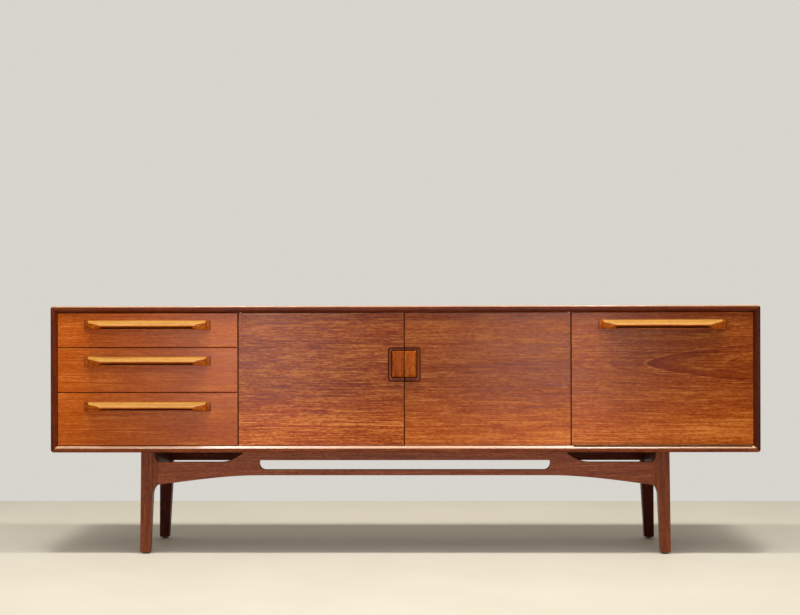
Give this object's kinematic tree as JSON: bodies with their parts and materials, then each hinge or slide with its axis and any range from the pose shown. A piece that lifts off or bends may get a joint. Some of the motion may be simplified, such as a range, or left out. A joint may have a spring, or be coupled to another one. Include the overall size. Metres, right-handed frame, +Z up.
{
  "type": "sideboard buffet",
  "caption": "Long low wooden sideboard on a carved stand, with drawers, a pair of doors and a drop flap.",
  "frame": {"origin": "on the floor, under the middle of the bounding box", "axes": "+X to the right seen from the front, +Y to the back, +Z up"},
  "size_m": [2.13, 0.48, 0.75],
  "materials": {
    "teak_veneer": "satin oiled teak veneer, grain along the piece",
    "solid_teak": "satin oiled solid teak, darker",
    "light_teak": "satin, lighter solid teak",
    "pale_hardwood": "smooth unstained hardwood",
    "plywood": "matt thin plywood",
    "brass": "dull polished brass",
    "steel": "bright zinc plated",
    "grey_plastic": "matt dark grey-brown"
  },
  "bodies": {
    "carcass": {"top_panel": "teak_veneer", "bottom_panel": "teak_veneer", "left_side_panel": "teak_veneer", "right_side_panel": "teak_veneer", "top_lipping": "solid_teak", "bottom_lipping": "solid_teak", "left_lipping": "solid_teak", "right_lipping": "solid_teak", "left_partition": "teak_veneer", "right_partition": "teak_veneer", "back_panel": "plywood", "back_panel_screws": "steel", "centre_shelf": "teak_veneer", "bar_shelf": "teak_veneer", "shelf_pins": "brass", "drawer_runners": "pale_hardwood", "door_pivot_plates": "brass", "flap_hinge_fixed_leaf": "brass", "magnetic_catches": "grey_plastic", "stay_wall_bracket": "brass", "front_stretcher": "solid_teak", "rear_rail": "solid_teak", "left_end_rail": "solid_teak", "right_end_rail": "solid_teak", "front_left_leg": "solid_teak", "front_right_leg": "solid_teak", "back_left_leg": "solid_teak", "back_right_leg": "solid_teak", "frame_screws": "steel", "leg_glides": "grey_plastic"},
    "top_drawer": {"top_drawer_front": "teak_veneer", "top_drawer_sides": "pale_hardwood", "top_drawer_back": "pale_hardwood", "top_drawer_bottom": "plywood", "top_drawer_handle": "light_teak"},
    "middle_drawer": {"middle_drawer_front": "teak_veneer", "middle_drawer_sides": "pale_hardwood", "middle_drawer_back": "pale_hardwood", "middle_drawer_bottom": "plywood", "middle_drawer_handle": "light_teak"},
    "bottom_drawer": {"bottom_drawer_front": "teak_veneer", "bottom_drawer_sides": "pale_hardwood", "bottom_drawer_back": "pale_hardwood", "bottom_drawer_bottom": "plywood", "bottom_drawer_handle": "light_teak"},
    "left_door": {"left_door_panel": "teak_veneer", "left_door_handle": "light_teak", "left_door_pivot_leaves": "brass", "left_door_strike": "steel"},
    "right_door": {"right_door_panel": "teak_veneer", "right_door_handle": "light_teak", "right_door_pivot_leaves": "brass", "right_door_strike": "steel"},
    "flap": {"flap_panel": "teak_veneer", "flap_handle": "light_teak", "flap_hinge_moving_leaf": "brass", "flap_strike": "steel", "stay_flap_bracket": "brass"},
    "stay_rod": {"stay_rod": "brass"},
    "stay_guide": {"stay_guide": "brass"}
  },
  "joints": [
    {"name": "top_drawer_slide", "type": "slide", "parent": "carcass", "child": "top_drawer", "axis": [0, -1, 0], "range_m": [0, 0.34]},
    {"name": "middle_drawer_slide", "type": "slide", "parent": "carcass", "child": "middle_drawer", "axis": [0, -1, 0], "range_m": [0, 0.34]},
    {"name": "bottom_drawer_slide", "type": "slide", "parent": "carcass", "child": "bottom_drawer", "axis": [0, -1, 0], "range_m": [0, 0.34]},
    {"name": "left_door_swing", "type": "hinge", "parent": "carcass", "child": "left_door", "pos_m": [-0.492, -0.207, 0.53], "axis": [0, 0, -1], "range_deg": [0, 90]},
    {"name": "right_door_swing", "type": "hinge", "parent": "carcass", "child": "right_door", "pos_m": [0.492, -0.207, 0.53], "axis": [0, 0, 1], "range_deg": [0, 90]},
    {"name": "flap_drop", "type": "hinge", "parent": "carcass", "child": "flap", "pos_m": [0.77325, -0.2145, 0.33], "axis": [1, 0, 0], "range_deg": [0, 90]},
    {"name": "stay_rod_pivot", "type": "hinge", "parent": "flap", "child": "stay_rod", "pos_m": [1.03, -0.183, 0.5275], "axis": [1, 0, 0], "range_deg": [-45, 0]},
    {"name": "stay_guide_swivel", "type": "hinge", "parent": "carcass", "child": "stay_guide", "pos_m": [1.03, -0.13616, 0.51402], "axis": [1, 0, 0], "range_deg": [0, 45]}
  ],
  "couplings": [
    {"joint": "stay_rod_pivot", "follows": "flap_drop", "ratio": -0.5},
    {"joint": "stay_guide_swivel", "follows": "flap_drop", "ratio": 0.5}
  ]
}
